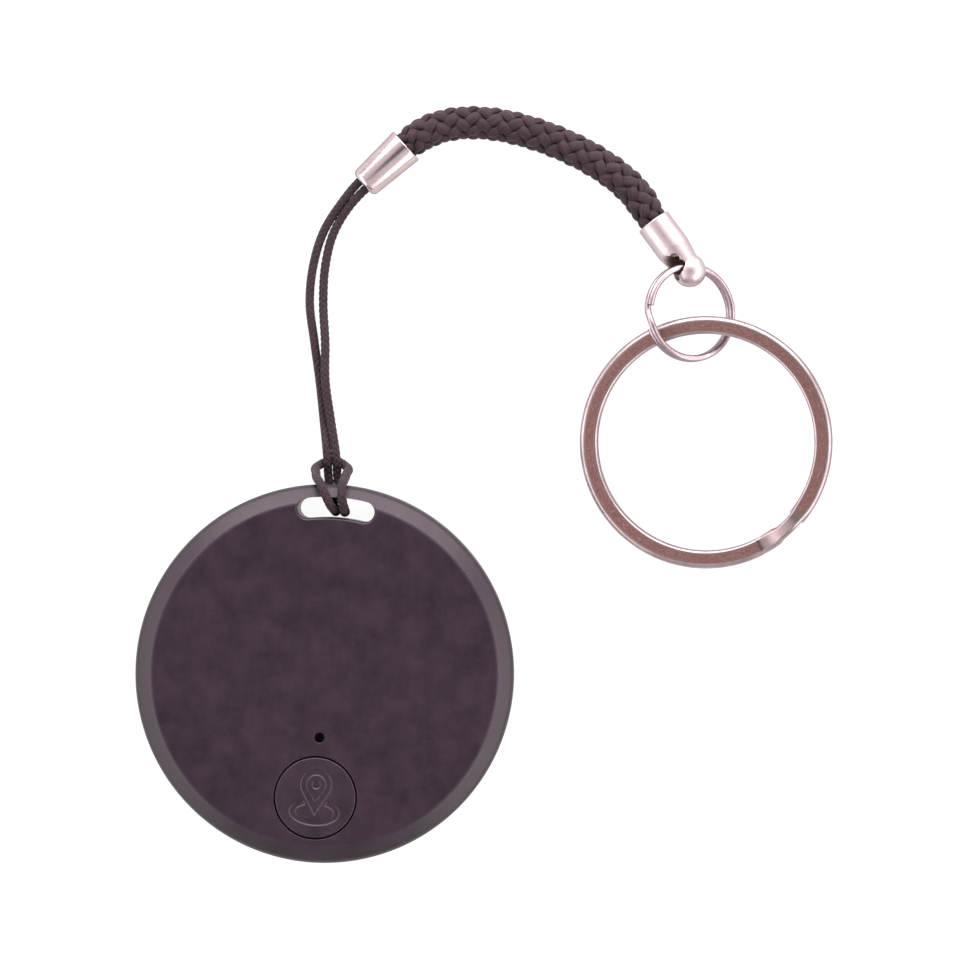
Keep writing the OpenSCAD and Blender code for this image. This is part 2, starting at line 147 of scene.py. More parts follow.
def smooth_route(points, steps):
    """Cubic spans through the route's points."""
    heading = headings(points)
    t = (np.arange(steps) / steps)[:, None]
    spans = []
    for i in range(len(points) - 1):
        a, b = points[i], points[i + 1]
        reach = np.linalg.norm(b - a)
        spans.append(
            (2 * t**3 - 3 * t**2 + 1) * a + (t**3 - 2 * t**2 + t) * reach * heading[i]
            + (3 * t**2 - 2 * t**3) * b + (t**3 - t**2) * reach * heading[i + 1]
        )
    return np.concatenate(spans + [points[-1:]])


def lengths_along(line):
    steps = np.linalg.norm(np.diff(line, axis=0), axis=1)
    return np.concatenate([[0], np.cumsum(steps)])


def evenly_spaced(line, step):
    along = lengths_along(line)
    at = np.linspace(0, along[-1], int(math.ceil(along[-1] / step)) + 1)
    return np.stack([np.interp(at, along, line[:, k]) for k in range(3)], axis=1)


def carried_sides(tangents, first):
    """Side vectors carried along a line without twist."""
    sides = [unit(first - np.dot(first, tangents[0]) * tangents[0])]
    for tangent in tangents[1:]:
        side = sides[-1]
        sides.append(unit(side - np.dot(side, tangent) * tangent))
    return np.array(sides)


# ------------------------------------------------------------------ meshes

def shown(name, data):
    """New object in the scene."""
    obj = bpy.data.objects.new(name, data)
    scene.collection.objects.link(obj)
    return obj


def make_object(name, points, faces):
    mesh = bpy.data.meshes.new(name)
    mesh.from_pydata(np.asarray(points).tolist(), [], faces)
    mesh.update()
    mesh.shade_smooth()
    return shown(name, mesh)


def tube_faces(rings, sides, first=0, closed=False):
    """Quads over rings of points, and a cap at each end unless the tube closes on itself."""
    faces = []
    for i in range(rings if closed else rings - 1):
        a, b = first + i * sides, first + (i + 1) % rings * sides
        faces += [(a + k, a + (k + 1) % sides, b + (k + 1) % sides, b + k) for k in range(sides)]
    if not closed:
        faces.append(tuple(first + k for k in reversed(range(sides))))
        faces.append(tuple(first + (rings - 1) * sides + k for k in range(sides)))
    return faces


def face_outwards(obj):
    edit = bmesh.new()
    edit.from_mesh(obj.data)
    bmesh.ops.remove_doubles(edit, verts=edit.verts, dist=MERGE)
    bmesh.ops.recalc_face_normals(edit, faces=edit.faces)
    edit.to_mesh(obj.data)
    edit.free()
    obj.data.update()


def rounded(corners, steps=6):
    """Polyline through (x, y, radius) corners, each rounded by its radius."""
    out = []
    count = len(corners)
    for i, (x, y, radius) in enumerate(corners):
        here = np.array((x, y))
        if radius == 0:
            out.append(here)
            continue
        before = unit(np.array(corners[i - 1][:2]) - here)
        after = unit(np.array(corners[(i + 1) % count][:2]) - here)
        half = math.acos(np.clip(before @ after, -1, 1)) / 2
        centre = here + unit(before + after) * radius / math.sin(half)
        start = here + before * radius / math.tan(half)
        end = here + after * radius / math.tan(half)
        for t in np.linspace(0, 1, steps + 1):
            out.append(centre + radius * unit((1 - t) * (start - centre) + t * (end - centre)))
    return np.array(out)


def arc(radius, start, end, steps, centre=(0, 0)):
    angle = np.linspace(start, end, steps)
    return np.column_stack([np.cos(angle), np.sin(angle)]) * radius + centre


def circle(radius, sides, centre=(0, 0)):
    return arc(radius, 0, TURN, sides + 1, centre)[:-1]


def lathe(name, profile, segments=128):
    """Solid of revolution about Z. The profile is a closed loop of (radius, height)."""
    angle = np.arange(segments) * TURN / segments
    rings = np.stack([
        np.outer(np.cos(angle), profile[:, 0]),
        np.outer(np.sin(angle), profile[:, 0]),
        np.tile(profile[:, 1], (segments, 1)),
    ], axis=2)
    faces = tube_faces(segments, len(profile), closed=True)
    obj = make_object(name, rings.reshape(-1, 3), faces)
    face_outwards(obj)
    return obj


def stack(name, outlines):
    """Solid between outlines that have the same number of points, lowest first."""
    sides = len(outlines[0])
    obj = make_object(name, np.concatenate(outlines), tube_faces(len(outlines), sides))
    face_outwards(obj)
    return obj


def at_height(outline, z):
    return np.column_stack([outline, np.full(len(outline), z)])


def apply_modifiers(obj):
    bpy.context.view_layer.update()
    result = obj.evaluated_get(bpy.context.evaluated_depsgraph_get())
    mesh = bpy.data.meshes.new_from_object(result)
    obj.modifiers.clear()
    obj.data = mesh


def combine(obj, tool, operation="DIFFERENCE"):
    """Cuts tool out of obj, or joins it on, and removes tool."""
    modifier = obj.modifiers.new("combine", "BOOLEAN")
    modifier.operation = operation
    modifier.solver = "MANIFOLD"
    modifier.object = tool
    apply_modifiers(obj)
    bpy.data.objects.remove(tool)


def sharpen(obj, degrees):
    """Smooth shading with hard edges where faces meet at more than that angle."""
    obj.data.shade_smooth()
    obj.data.set_sharp_from_angle(angle=math.radians(degrees))
    modifier = obj.modifiers.new("normals", "WEIGHTED_NORMAL")
    modifier.keep_sharp = True
    modifier.weight = 100
    apply_modifiers(obj)


def laid_along(a, b):
    """Matrix that lays what is built along +Z from the origin from a towards b."""
    turn = Vector(b - a).to_track_quat("Z", "Y").to_matrix().to_4x4()
    return Matrix.Translation(a) @ turn


def store(obj, name, values, kind="FLOAT"):
    """Keeps a value for each point of the mesh, for the material to read."""
    layer = obj.data.attributes.new(name, kind, "POINT")
    field = "value" if kind == "FLOAT" else "vector"
    layer.data.foreach_set(field, np.asarray(values, np.float32).ravel())


def dress(obj, material):
    obj.data.materials.clear()
    obj.data.materials.append(material)


def points_of(obj):
    co = np.zeros(len(obj.data.vertices) * 3)
    obj.data.vertices.foreach_get("co", co)
    return co.reshape(-1, 3)


def smoothstep(low, high, x):
    t = np.clip((x - low) / (high - low), 0, 1)
    return t * t * (3 - 2 * t)


# ------------------------------------------------------------------ materials

def new_material(name, settings):
    made = bpy.data.materials.new(name)
    made.use_nodes = True
    shader = made.node_tree.nodes["Principled BSDF"]
    for socket, value in settings.items():
        shader.inputs[socket].default_value = value
    return made, shader


def add(made, kind, inputs, **settings):
    """New node. An input is a value or another node's output."""
    node = made.node_tree.nodes.new(kind)
    for key, value in settings.items():
        setattr(node, key, value)
    for socket, value in inputs.items():
        if isinstance(value, bpy.types.NodeSocket):
            made.node_tree.links.new(value, node.inputs[socket])
        else:
            node.inputs[socket].default_value = value
    return node


def link(made, output, shader, socket):
    made.node_tree.links.new(output, shader.inputs[socket])


def object_space(made):
    return add(made, "ShaderNodeTexCoord", {}).outputs["Object"]


def attribute(made, name, field="Fac"):
    return add(made, "ShaderNodeAttribute", {}, attribute_name=name).outputs[field]


def stretched(made, vector, scale):
    node = add(made, "ShaderNodeVectorMath", {0: vector, 1: scale}, operation="MULTIPLY")
    return node.outputs[0]


def scaled(made, vector, factor):
    node = add(made, "ShaderNodeVectorMath", {0: vector, "Scale": factor}, operation="SCALE")
    return node.outputs[0]


def noise(made, vector, scale, detail=3.0, rough=0.5):
    return add(made, "ShaderNodeTexNoise", {
        "Vector": vector, "Scale": scale, "Detail": detail, "Roughness": rough,
    }).outputs[0]


def cells(made, vector, scale):
    return add(made, "ShaderNodeTexVoronoi", {"Vector": vector, "Scale": scale}).outputs[0]


def maths(made, operation, a, b):
    return add(made, "ShaderNodeMath", {0: a, 1: b}, operation=operation).outputs[0]


def shared(made, a, b, a_share):
    """Sum of two patterns, where b has the rest of the share."""
    a_part = maths(made, "MULTIPLY", a, a_share)
    b_part = maths(made, "MULTIPLY", b, 1 - a_share)
    return maths(made, "ADD", a_part, b_part)


def ranged(made, value, low, high, to_low=0.0, to_high=1.0):
    return add(made, "ShaderNodeMapRange", {
        "Value": value, "From Min": low, "From Max": high, "To Min": to_low, "To Max": to_high,
    }).outputs[0]


def mixed(made, factor, a, b):
    """Colour from a to b by factor."""
    return add(made, "ShaderNodeMix", {0: factor, 6: a, 7: b}, data_type="RGBA").outputs[2]


def tinted(made, pattern, low, high, dark, light):
    """Colour from dark, where the pattern is low, to light, where it is high."""
    return mixed(made, ranged(made, pattern, low, high), (*dark, 1), (*light, 1))


def bump(made, shader, height, distance, strength):
    node = add(made, "ShaderNodeBump", {
        "Height": height, "Distance": distance, "Strength": strength,
    })
    link(made, node.outputs[0], shader, "Normal")


def moulded_plastic(name, dark, light, rough):
    """Satin plastic with the fine grain of an etched mould, soft mottling and handling marks."""
    made, shader = new_material(name, {"Specular IOR Level": 0.5})
    space = object_space(made)
    mottle = noise(made, space, scale=420.0, detail=4.0, rough=0.6)
    grain = noise(made, space, scale=9000.0, detail=2.0, rough=0.6)
    scuff = noise(made, stretched(made, space, (1.0, 0.12, 1.0)), scale=2600.0, rough=0.7)
    tone = shared(made, mottle, grain, a_share=0.35)
    link(made, tinted(made, tone, 0.35, 0.65, dark, light), shader, "Base Color")
    gloss = shared(made, mottle, scuff, a_share=0.7)
    link(made, ranged(made, gloss, 0.3, 0.7, rough - 0.06, rough + 0.06), shader, "Roughness")
    bump(made, shader, grain, distance=0.004 * MM, strength=0.7)
    return made


# Worn plating reflects less at a glancing angle than clean metal does
EDGE_TINT = (0.5, 0.43, 0.45, 1)
# Colour of the painted shade in a cap's cut openings
PAINTED_SHADE_COLOUR = (0.34, 0.25, 0.2, 1)


def plated_metal(name, colour, tarnish, rough, streak=(1.0, 1.0, 1.0)):
    """Plating with faint haze, fine scratches, a little tarnish, and painted shade in its
    openings.
    """
    made, shader = new_material(name, {"Metallic": 1.0, "Specular Tint": EDGE_TINT})
    space = stretched(made, object_space(made), streak)
    haze = noise(made, space, scale=500.0, detail=4.0, rough=0.6)
    scratch = noise(made, stretched(made, space, (1.0, 9.0, 1.0)), scale=2500.0, rough=0.7)
    plate = tinted(made, haze, 0.35, 0.7, colour, tarnish)
    # Painted shade: points deep below the uncut cap turn towards the shade colour
    painted_shade = ranged(made, attribute(made, "depth"), 0.0, 1.0, to_high=0.8)
    link(made, mixed(made, painted_shade, plate, PAINTED_SHADE_COLOUR), shader, "Base Color")
    worn = shared(made, haze, scratch, a_share=0.6)
    link(made, ranged(made, worn, 0.3, 0.7, rough * 0.7, rough * 1.35), shader, "Roughness")
    bump(made, shader, scratch, distance=0.002 * MM, strength=0.5)
    return made


def braided_fabric(name, dark, light, sheen, fineness):
    """Yarn of fine filaments that run along each strand, with painted shade where strands dive
    under.
    """
    made, shader = new_material(name, {
        "Roughness": 0.75, "Specular IOR Level": 0.35, "Sheen Weight": sheen,
        "Sheen Roughness": 0.4, "Sheen Tint": (1.0, 0.9, 0.95, 1.0),
    })
    fibre = attribute(made, "fibre", "Vector")
    filaments = noise(made, fibre, fineness, rough=0.65)
    lint = noise(made, stretched(made, fibre, (1.0, 1.0, 6.0)), fineness * 0.35, detail=2.0)
    tone = shared(made, filaments, lint, a_share=0.65)
    colour = tinted(made, tone, 0.32, 0.68, dark, light)
    # Painted shade: strands darken where they lie low in the braid
    depth = ranged(made, attribute(made, "crest"), 0.05, 0.85, to_low=0.07)
    link(made, scaled(made, colour, depth), shader, "Base Color")
    bump(made, shader, filaments, distance=0.03 * MM, strength=0.8)
    return made


# ------------------------------------------------------------------ cords

# Fibres are drawn out along a strand, and each strand has its own stretch of the pattern
FIBRE_STRETCH = 0.04
STRAND_SHIFT = 5 * MM
# Points from one point of a route to the next, before they are spaced evenly
SPAN_STEPS = 24
# A braid's first side vector, a little off upright so that no route runs along it
FIRST_SIDE = np.array((0.001, 0.001, 1.001))
# Shares of the braid's radius between which the painted shade on a strand fades from darkest to
# none
CREST_FROM, CREST_TO = 0.55, 1.0


def make_braid(
    name, route, diameter, each_way, pitch, strand_w, strand_t, swing, step, sides, squeeze,
):
    """Round braid of flat strands, as many one way as the other, each over one and under one.

    swing is how far a strand moves out and in, and step is the spacing of its rings.
    squeeze gives the share of the full radius at each distance along the line.
    """
    line = evenly_spaced(smooth_route(route, SPAN_STEPS), step)
    along = lengths_along(line)
    tangents = headings(line)
    side = carried_sides(tangents, FIRST_SIDE)
    up = np.cross(tangents, side)
    share = squeeze(along, along[-1])[:, None]
    middle_r = diameter / 2 - strand_t / 2 - swing
    around = np.arange(sides) * TURN / sides
    across, out = np.cos(around) * strand_w / 2, np.sin(around) * strand_t / 2
    points, faces, fibre, crest = [], [], [], []
    for k in range(2 * each_way):
        way = 1 if k < each_way else -1
        theta = TURN * (k % each_way) / each_way + way * TURN * along / pitch
        lift = swing * way * np.cos(each_way * theta)
        turned = theta + TURN / (4 * each_way)
        radial = np.cos(turned)[:, None] * side + np.sin(turned)[:, None] * up
        centre = line + radial * share * (middle_r + lift)[:, None]
        run = headings(centre)
        outwards = unit(radial - np.sum(radial * run, axis=1, keepdims=True) * run)
        width = np.cross(run, outwards)
        rings = (
            centre[:, None] + share[:, None] * across[None, :, None] * width[:, None]
            + share[:, None] * out[None, :, None] * outwards[:, None]
        )
        faces += tube_faces(len(line), sides, first=len(points) * len(line) * sides)
        points.append(rings.reshape(-1, 3))
        local = np.stack([
            np.tile(across, (len(line), 1)), np.tile(out, (len(line), 1)),
            np.tile(along[:, None] * FIBRE_STRETCH + k * STRAND_SHIFT, (1, sides)),
        ], axis=2)
        fibre.append(local.reshape(-1, 3) / MM)
        # Painted shade, for the material: how far out each point stands in the braid
        height = np.linalg.norm(rings - line[:, None], axis=2) / (diameter / 2)
        crest.append(smoothstep(CREST_FROM, CREST_TO, height).ravel())
    core_r = middle_r - swing
    ring = core_r * (
        np.cos(around)[None, :, None] * side[:, None]
        + np.sin(around)[None, :, None] * up[:, None]
    )
    faces += tube_faces(len(line), sides, first=2 * each_way * len(line) * sides)
    points.append((line[:, None] + share[:, None] * ring).reshape(-1, 3))
    fibre.append(np.zeros((len(line) * sides, 3)))
    # The core inside the braid gets the darkest painted shade
    crest.append(np.zeros(len(line) * sides))
    obj = make_object(name, np.concatenate(points), faces)
    store(obj, "fibre", np.concatenate(fibre), "FLOAT_VECTOR")
    store(obj, "crest", np.concatenate(crest))
    face_outwards(obj)
    return obj, line


def no_squeeze(along, total):
    return np.ones(len(along))


def squeezed_ends(along, total):
    """Full radius between the caps, narrower inside them."""
    in_cap, past_cap, cap_share = 1.6 * MM, 4.0 * MM, 0.82
    from_end = np.minimum(along, total - along)
    return cap_share + (1 - cap_share) * smoothstep(in_cap, past_cap, from_end)


cord_fabric = braided_fabric(
    "cord_fabric", dark=(0.007, 0.004, 0.006), light=(0.036, 0.02, 0.026), sheen=0.1,
    fineness=9.0,
)
strap_fabric = braided_fabric(
    "strap_fabric", dark=(0.008, 0.004, 0.006), light=(0.042, 0.023, 0.029), sheen=0.12,
    fineness=5.0,
)

# Plump strands reach a little past the cord's nominal diameter
CORD_SHOWN_D = 1.09 * CORD_D

cord, cord_line = make_braid(
    "loop_cord_braid", LOOP_ROUTE, CORD_SHOWN_D, each_way=4, pitch=2.3 * MM, strand_w=0.45 * MM,
    strand_t=0.26 * MM, swing=0.035 * MM, step=0.09 * MM, sides=6, squeeze=no_squeeze,
)
dress(cord, cord_fabric)
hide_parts("loop_cord")

strap, strap_line = make_braid(
    "strap_braid", STRAP_ROUTE, STRAP_D, each_way=6, pitch=12.6 * MM, strand_w=1.02 * MM,
    strand_t=0.62 * MM, swing=0.25 * MM, step=0.14 * MM, sides=16, squeeze=squeezed_ends,
)
dress(strap, strap_fabric)
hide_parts("braided_strap")
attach(strap, "lanyard")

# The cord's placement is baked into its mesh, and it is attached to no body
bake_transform(cord)

# ------------------------------------------------------------------ caps

# Middles of each cap's mouth and far end
CRIMP_MOUTH = MM * np.array((4.17, 52.65, 1.92))
CRIMP_END = MM * np.array((0.17, 48.49, 1.6))
EYELET_MOUTH = MM * np.array((29.17, 46.89, 1.76))
EYELET_TIP = MM * np.array((33.1, 42.25, 2.25))
CAP_BORE_R = 1.45 * MM
CAP_BORE_DEPTH = 2.6 * MM

bright_nickel = plated_metal(
    "bright_nickel", colour=(0.66, 0.57, 0.57), tarnish=(0.54, 0.45, 0.45), rough=0.24,
)
satin_nickel = plated_metal(
    "satin_nickel", colour=(0.62, 0.56, 0.555), tarnish=(0.52, 0.46, 0.455), rough=0.4,
)
ring_nickel = plated_metal(
    "ring_nickel", colour=(0.46, 0.39, 0.41), tarnish=(0.32, 0.26, 0.28), rough=0.3,
)


def make_crimp_cap():
    """Tapered ferrule with a rolled lip at its mouth and two holes for the strands."""
    length = np.linalg.norm(CRIMP_END - CRIMP_MOUTH)
    mouth_r, end_r, wall = 1.9 * MM, 1.55 * MM, 0.32 * MM
    hole_r, hole_offset = 0.475 * MM, 0.46 * MM
    profile = rounded([
        (0, CAP_BORE_DEPTH, 0), (CAP_BORE_R, CAP_BORE_DEPTH, 0.1 * MM),
        (mouth_r - wall, 0, 0.08 * MM), (mouth_r, 0, 0.14 * MM), (end_r, length, 0.55 * MM),
        (0, length, 0),
    ])
    cap = lathe("crimp_ferrule", profile)
    for way in (-1, 1):
        outline = circle(hole_r, 24, (0, way * hole_offset))
        combine(cap, stack("hole", [
            at_height(outline, CAP_BORE_DEPTH - PAST), at_height(outline, length + PAST),
        ]))
    sharpen(cap, degrees=40)
    cap.data.transform(laid_along(CRIMP_MOUTH, CRIMP_END))
    return cap


crimp = make_crimp_cap()
dress(crimp, bright_nickel)
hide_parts("crimp_cap")
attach(crimp, "lanyard")


def ring_place(centre, heading, tilt):
    """Matrix that tilts a flat ring, turns it to its heading in degrees and moves it to centre."""
    return (
        Matrix.Translation(MM * Vector(centre))
        @ Matrix.Rotation(math.radians(heading), 4, "Z")
        @ Matrix.Rotation(math.radians(tilt), 4, "Y")
    )


SMALL_RING_PLACE = ring_place(centre=(33.42, 38.08, 2.68), heading=192, tilt=-25.5)
SMALL_RING_R = 4.575 * MM
SMALL_WIRE_R = 0.325 * MM
# Where on the small ring the eye sits, the eye's own radius, and half of its cutter's length
EYE_ANGLE = math.radians(-98)
EYE_R = 0.95 * MM
EYE_REACH = 4 * MM
EYELET_VOXEL = 0.045 * MM
# Depths below the uncut cap between which painted shade sets in
PAINTED_SHADE_DEPTHS = (0.12 * MM, 0.5 * MM)
# Balls that cut the opening beside the eyelet's tongue, in mm from the tip's centre:
# back along the cap, to its left, upwards, and the ball's radius
EYELET_OPENING = (
    (1.75, 0.55, 1.35, 0.5), (1.4, 0.75, 1.25, 0.55), (1.0, 0.95, 1.1, 0.55),
    (0.6, 1.15, 0.85, 0.5), (0.25, 1.3, 0.55, 0.5),
)


def ball(name, centre, radius):
    edit = bmesh.new()
    bmesh.ops.create_icosphere(edit, subdivisions=4, radius=radius)
    bmesh.ops.translate(edit, vec=centre, verts=edit.verts)
    mesh = bpy.data.meshes.new(name)
    edit.to_mesh(mesh)
    edit.free()
    return shown(name, mesh)


def cut_eye(cap):
    """Bores the eye along the small ring's wire."""
    at_eye = SMALL_RING_PLACE @ Matrix.Rotation(EYE_ANGLE, 4, "Z")
    wire_way = at_eye.to_3x3() @ Vector((0, 1, 0))
    along_wire = wire_way.to_track_quat("Z", "Y").to_matrix().to_4x4()
    outline = circle(EYE_R, 32)
    eye = stack("eye", [at_height(outline, -EYE_REACH), at_height(outline, EYE_REACH)])
    eye.data.transform(Matrix.Translation(at_eye @ Vector((SMALL_RING_R, 0, 0))) @ along_wire)
    combine(cap, eye)


def cut_opening(cap):
    """Opens the cap beside its tongue with a chain of balls."""
    axis = unit(EYELET_TIP - EYELET_MOUTH)
    left = unit(np.array((axis[1], -axis[0], 0)))
    rise = np.cross(left, axis)
    for back, aside, above, radius in EYELET_OPENING:
        centre = EYELET_TIP + MM * (-back * axis + aside * left + above * rise)
        combine(cap, ball("opening", centre, radius * MM))


def depth_below(cap, whole):
    """How far each point of cap lies below the surface of the uncut cap."""
    corners = [v.co for v in whole.vertices]
    tree = BVHTree.FromPolygons(corners, [tuple(p.vertices) for p in whole.polygons])
    return np.array([tree.find_nearest(v.co)[3] for v in cap.data.vertices])


def make_eyelet_cap():
    """End cap whose tip is curled into a round eye, open along its left side."""
    length = np.linalg.norm(EYELET_TIP - EYELET_MOUTH)
    mouth_r, tip_r = 1.75 * MM, 1.65 * MM
    profile = rounded([
        (0, CAP_BORE_DEPTH, 0), (CAP_BORE_R, CAP_BORE_DEPTH, 0.2 * MM),
        (CAP_BORE_R, 0, 0.1 * MM), (mouth_r, 0, 0.12 * MM), (mouth_r, 3.4 * MM, 1.5 * MM),
        (1.5 * MM, 4.9 * MM, 0.8 * MM), (1.3 * MM, length, 0), (0, length, 0),
    ])
    cap = lathe("eyelet_end", profile)
    combine(cap, ball("tip", (0, 0, length), tip_r), "UNION")
    cap.data.transform(laid_along(EYELET_MOUTH, EYELET_TIP))
    whole = cap.data.copy()
    cut_eye(cap)
    cut_opening(cap)
    remesh = cap.modifiers.new("remesh", "REMESH")
    remesh.mode = "VOXEL"
    remesh.voxel_size = EYELET_VOXEL
    soften = cap.modifiers.new("soften", "SMOOTH")
    soften.factor, soften.iterations = 0.5, 8
    apply_modifiers(cap)
    cap.data.shade_smooth()
    # Painted shade in the eye and the opening, by how deep each point lies
    store(cap, "depth", smoothstep(*PAINTED_SHADE_DEPTHS, depth_below(cap, whole)))
    bpy.data.meshes.remove(whole)
    return cap


eyelet = make_eyelet_cap()
dress(eyelet, satin_nickel)
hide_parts("eyelet_cap")
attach(eyelet, "lanyard")

# ------------------------------------------------------------------ rings

# Gap between a wire's end and the ramp beside it, as a share of the ramp
END_GAP = 0.06


def make_spiral(name, section, radius, turn_z, split, ramp, width_at, place, segments=260):
    """Two turns of wire, one on the other, joined by a ramp that ends at angle split.

    The upper turn runs on from the ramp round to where the ramp starts, and the lower turn
    starts where the ramp ends. section is the wire's outline as (outwards, up) points, and
    turn_z is how far each turn's middle lies from the ring's. segments is for one turn.
    Gives the ring, and the angle of each of the wire's cross-sections.
    """
    clear = ramp * END_GAP
    angle = np.linspace(split + clear, split + 2 * TURN - ramp - clear, 2 * segments)
    climb = smoothstep(split + TURN - ramp, split + TURN, angle)
    height = turn_z * (2 * climb - 1)
    outwards = np.stack([np.cos(angle), np.sin(angle), np.zeros_like(angle)], axis=1)
    centre = outwards * radius + np.array((0, 0, 1)) * height[:, None]
    width = width_at(angle - split - TURN)
    run = headings(centre)
    up = unit(np.cross(outwards, run))
    up = up * np.sign(up[:, 2:])
    rings = (
        centre[:, None] + section[None, :, :1] * width[:, None, None] * outwards[:, None]
        + section[None, :, 1:] * up[:, None]
    )
    obj = make_object(name, rings.reshape(-1, 3), tube_faces(len(angle), len(section)))
    obj.data.transform(place)
    return obj, angle


def full_width(past_ramp):
    return np.ones(len(past_ramp))


small_ring, _ = make_spiral(
    "small_link_ring", circle(SMALL_WIRE_R, 20), SMALL_RING_R, turn_z=0.295 * MM,
    split=math.radians(12), ramp=math.radians(26), width_at=full_width, place=SMALL_RING_PLACE,
)
face_outwards(small_ring)
sharpen(small_ring, degrees=50)
dress(small_ring, ring_nickel)
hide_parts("small_ring")
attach(small_ring, "link")

KEY_RING_PLACE = ring_place(centre=(35.91, 25.38, 2.52), heading=22, tilt=-7)
KEY_RING_R = 11.625 * MM
KEY_WIRE_W, KEY_WIRE_H = 1.75 * MM, 1.0 * MM
# Corner radii of the wire on the ring's inside and outside
KEY_CORNERS = (0.28 * MM, 0.49 * MM)
# Edges of the brown band, outwards from the wire's middle, and half of their softness
BAND_EDGES = (-0.5 * MM, 0.29 * MM)
BAND_FADE = 0.09 * MM
# Angle where the ramp between the turns ends, and the angle that the ramp covers
KEY_SPLIT = math.radians(-59)
KEY_RAMP = math.radians(20.5)
# Share of the wire's width that is ground away at the crossover
KEY_GROUND = 0.2
# In ramp lengths past the ramp's end: where the wire narrows, where it widens again, and
# where the brown band stops and starts again
NARROWS, WIDENS = (-0.62, -0.45), (-0.02, 0.5)
BAND_STOPS, BAND_STARTS = (-1.15, -1.1), (0, 0.5)


def ramp_step(span, past_ramp):
    """Rises from 0 to 1 over a span given in ramp lengths."""
    return smoothstep(span[0] * KEY_RAMP, span[1] * KEY_RAMP, past_ramp)


def key_wire_width(past_ramp):
    """The wire is ground narrow where it crosses from the lower turn to the upper one."""
    return 1 - KEY_GROUND * (ramp_step(NARROWS, past_ramp) - ramp_step(WIDENS, past_ramp))


def banded_steel():
    """Nickel-plated flat wire whose flat faces have a brown band, with a painted golden highlight
    at its rim.
    """
    made, shader = new_material("ring_steel", {"Metallic": 1.0, "Specular Tint": EDGE_TINT})
    space = object_space(made)
    haze = noise(made, space, scale=450.0, detail=4.0, rough=0.6)
    speck = cells(made, space, scale=2600.0)
    grit = noise(made, space, scale=5200.0, rough=0.7)
    plate = tinted(made, haze, 0.35, 0.7, (0.46, 0.39, 0.385), (0.33, 0.26, 0.26))
    brown = tinted(made, grit, 0.35, 0.65, (0.21, 0.105, 0.095), (0.44, 0.265, 0.24))
    spots = tinted(made, speck, 0.1, 0.25, (0.66, 0.49, 0.45), (0.31, 0.175, 0.155))
    # Colour of the painted highlight at the brown band's rim
    painted_highlight = (0.5, 0.33, 0.24, 1)
    ragged = maths(made, "MULTIPLY", maths(made, "SUBTRACT", grit, 0.5), 0.3)
    edge = maths(made, "ADD", attribute(made, "brown_band_mask"), ragged)
    band = ranged(made, edge, 0.6, 0.75)
    # Painted highlight: the plate turns golden where it meets the brown band
    rim = mixed(made, ranged(made, edge, 0.2, 0.4), plate, painted_highlight)
    # The brown band's colour, with specks in it
    tarnish = mixed(made, 0.35, brown, spots)
    link(made, mixed(made, band, rim, tarnish), shader, "Base Color")
    rough = ranged(made, band, 0.0, 1.0, 0.26, 0.36)
    hazy = maths(made, "MULTIPLY", haze, 0.1)
    link(made, maths(made, "ADD", rough, hazy), shader, "Roughness")
    bump(made, shader, grit, distance=0.003 * MM, strength=0.6)
    return made


def make_key_section():
    """Flat wire's outline with points at the edges of the brown band on both flats."""
    half_w, half_h = KEY_WIRE_W / 2, KEY_WIRE_H / 2
    inner, outer = KEY_CORNERS
    stops = [edge + way * BAND_FADE for edge in BAND_EDGES for way in (-1, 1)]
    return rounded(
        [(-half_w, -half_h, inner)] + [(x, -half_h, 0) for x in stops]
        + [(half_w, -half_h, outer), (half_w, half_h, outer)]
        + [(x, half_h, 0) for x in reversed(stops)] + [(-half_w, half_h, inner)],
        steps=5,
    )


def brown_band_points(section, angle):
    """1 for the points of the ring in the brown band, fading to 0 at the bare crossover."""
    past_ramp = angle - KEY_SPLIT - TURN
    bare = ramp_step(BAND_STOPS, past_ramp) - ramp_step(BAND_STARTS, past_ramp)
    on_flat = np.abs(section[:, 1]) > KEY_WIRE_H / 2 - TOUCH
    in_band = (section[:, 0] > BAND_EDGES[0]) & (section[:, 0] < BAND_EDGES[1])
    return (1 - bare)[:, None] * (on_flat & in_band)[None, :]


key_section = make_key_section()
key_ring, key_angle = make_spiral(
    "split_key_ring", key_section, KEY_RING_R, turn_z=KEY_WIRE_H / 2, split=KEY_SPLIT,
    ramp=KEY_RAMP, width_at=key_wire_width, place=KEY_RING_PLACE, segments=320,
)
store(key_ring, "brown_band_mask", brown_band_points(key_section, key_angle))
face_outwards(key_ring)
sharpen(key_ring, degrees=50)
dress(key_ring, banded_steel())
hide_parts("key_ring")
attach(key_ring, "keys")

# ------------------------------------------------------------------ tag body

TAG_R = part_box("front_shell")[1].x
TAG_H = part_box("front_shell")[1].z
EDGE_R = 1.5 * MM
# Width and height of the bevel between face and rim, and the radii of its two corners
BEVEL_W, BEVEL_H = 1.65 * MM, 1.25 * MM
BEVEL_LOW_R, BEVEL_TOP_R = 1.1 * MM, 0.8 * MM
FRONT_WALL = 1.2 * MM
RIM_WALL = 1.7 * MM
CAVITY_R = TAG_R - RIM_WALL
SLOT_R = 16.35 * MM
SLOT_W = 2 * MM
SLOT_WALL = 1.2 * MM
SLOT_HALF_ANGLE = math.radians(9.8)
SLOT_FLARE = 0.28 * MM
